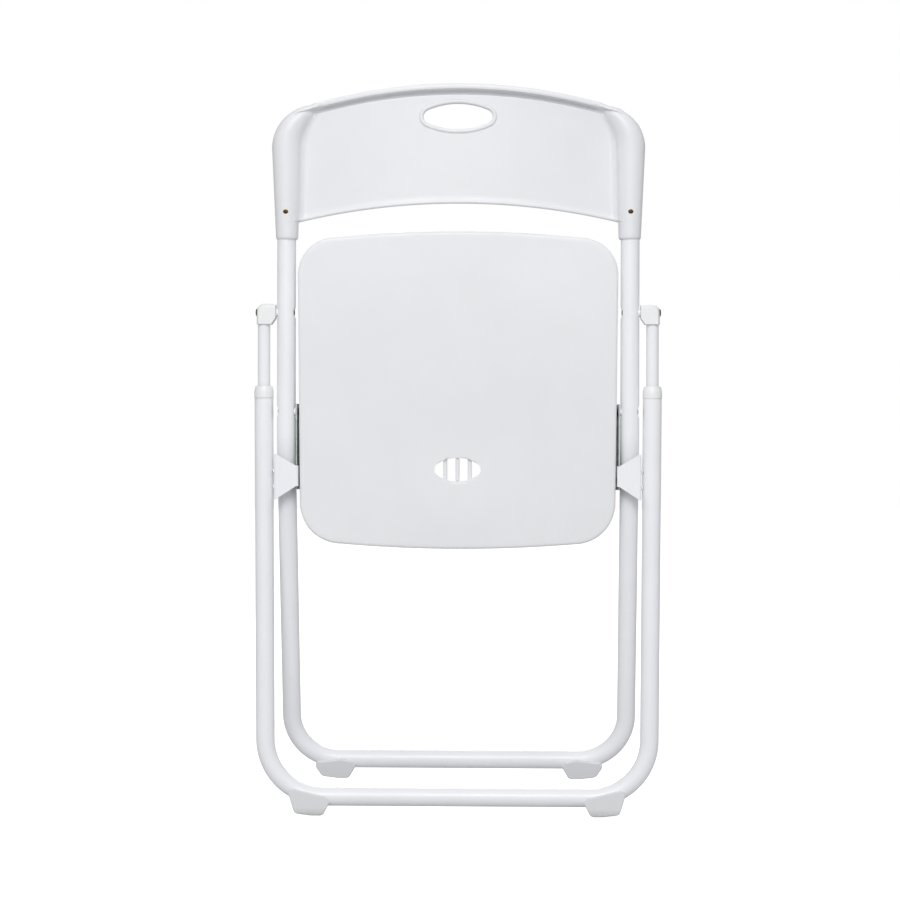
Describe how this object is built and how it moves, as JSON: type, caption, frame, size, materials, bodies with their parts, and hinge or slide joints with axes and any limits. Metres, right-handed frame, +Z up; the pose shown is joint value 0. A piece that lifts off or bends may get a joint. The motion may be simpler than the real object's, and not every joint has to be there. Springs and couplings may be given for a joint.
{
  "type": "folding chair",
  "caption": "Folding chair of bent round tube, stored folded flat, with a moulded seat and a curved backrest with a hand hole; the rear legs slide on rods as it opens.",
  "frame": {"origin": "on the floor under the middle of the folded chair, which stands on the soles of its rear feet", "axes": "+Z up, from the rear feet to the backrest; +X to the right as seen from behind; +Y forwards, from the backrest's rear face to the front feet"},
  "size_m": [0.4802, 0.1401, 0.8582],
  "materials": {
    "frame_paint": "light grey-white powder coat, soft gloss",
    "shell_plastic": "white moulded polypropylene, satin with a fine grain",
    "foot_plastic": "off-white moulded plastic, scuffed underneath",
    "fitting_plastic": "off-white moulded nylon, satin",
    "washer_nylon": "natural white nylon",
    "rivet_steel": "zinc plated, slightly dulled",
    "rail_steel": "grey zinc-coated pressed steel",
    "screw_steel": "zinc plated",
    "screw_brass": "yellow passivated steel, dulled"
  },
  "bodies": {
    "main_frame": {"main_tube": "frame_paint", "backrest_shell": "shell_plastic", "backrest_screws": "screw_brass", "front_foot_left": "foot_plastic", "front_foot_right": "foot_plastic", "rod_pivot_rivets": "rivet_steel", "rod_pivot_washers": "washer_nylon", "seat_pivot_rivets": "rivet_steel", "seat_pivot_washers": "washer_nylon"},
    "seat": {"seat_shell": "shell_plastic", "seat_rail_left": "rail_steel", "seat_rail_right": "rail_steel", "seat_rail_screws": "screw_steel", "rear_pivot_rivets": "rivet_steel"},
    "rear_frame": {"rear_tube": "frame_paint", "rear_foot_left": "foot_plastic", "rear_foot_right": "foot_plastic", "tube_collar_left": "fitting_plastic", "tube_collar_right": "fitting_plastic", "bracket_left": "frame_paint", "bracket_right": "frame_paint", "bracket_rivets": "rivet_steel", "bracket_spacers": "washer_nylon"},
    "rod_left_body": {"slide_rod_left": "frame_paint", "knuckle_left": "fitting_plastic"},
    "rod_right_body": {"slide_rod_right": "frame_paint", "knuckle_right": "fitting_plastic"}
  },
  "joints": [
    {"name": "seat_fold", "type": "hinge", "parent": "main_frame", "child": "seat", "pos_m": [0, -0.04435, 0.475], "axis": [-1, 0, 0], "range_deg": [0, 105]},
    {"name": "rear_fold", "type": "hinge", "parent": "seat", "child": "rear_frame", "pos_m": [0, -0.03835, 0.393], "axis": [-1, 0, 0], "range_deg": [-63, 0]},
    {"name": "rod_swing_left", "type": "hinge", "parent": "main_frame", "child": "rod_left_body", "pos_m": [0, -0.04435, 0.5914], "axis": [-1, 0, 0], "range_deg": [0, 42]},
    {"name": "rod_swing_right", "type": "hinge", "parent": "main_frame", "child": "rod_right_body", "pos_m": [0, -0.04435, 0.5914], "axis": [-1, 0, 0], "range_deg": [0, 42]}
  ],
  "couplings": [
    {"joint": "rear_fold", "follows": "seat_fold", "ratio": -0.6},
    {"joint": "rod_swing_left", "follows": "seat_fold", "ratio": 0.4},
    {"joint": "rod_swing_right", "follows": "seat_fold", "ratio": 0.4}
  ]
}
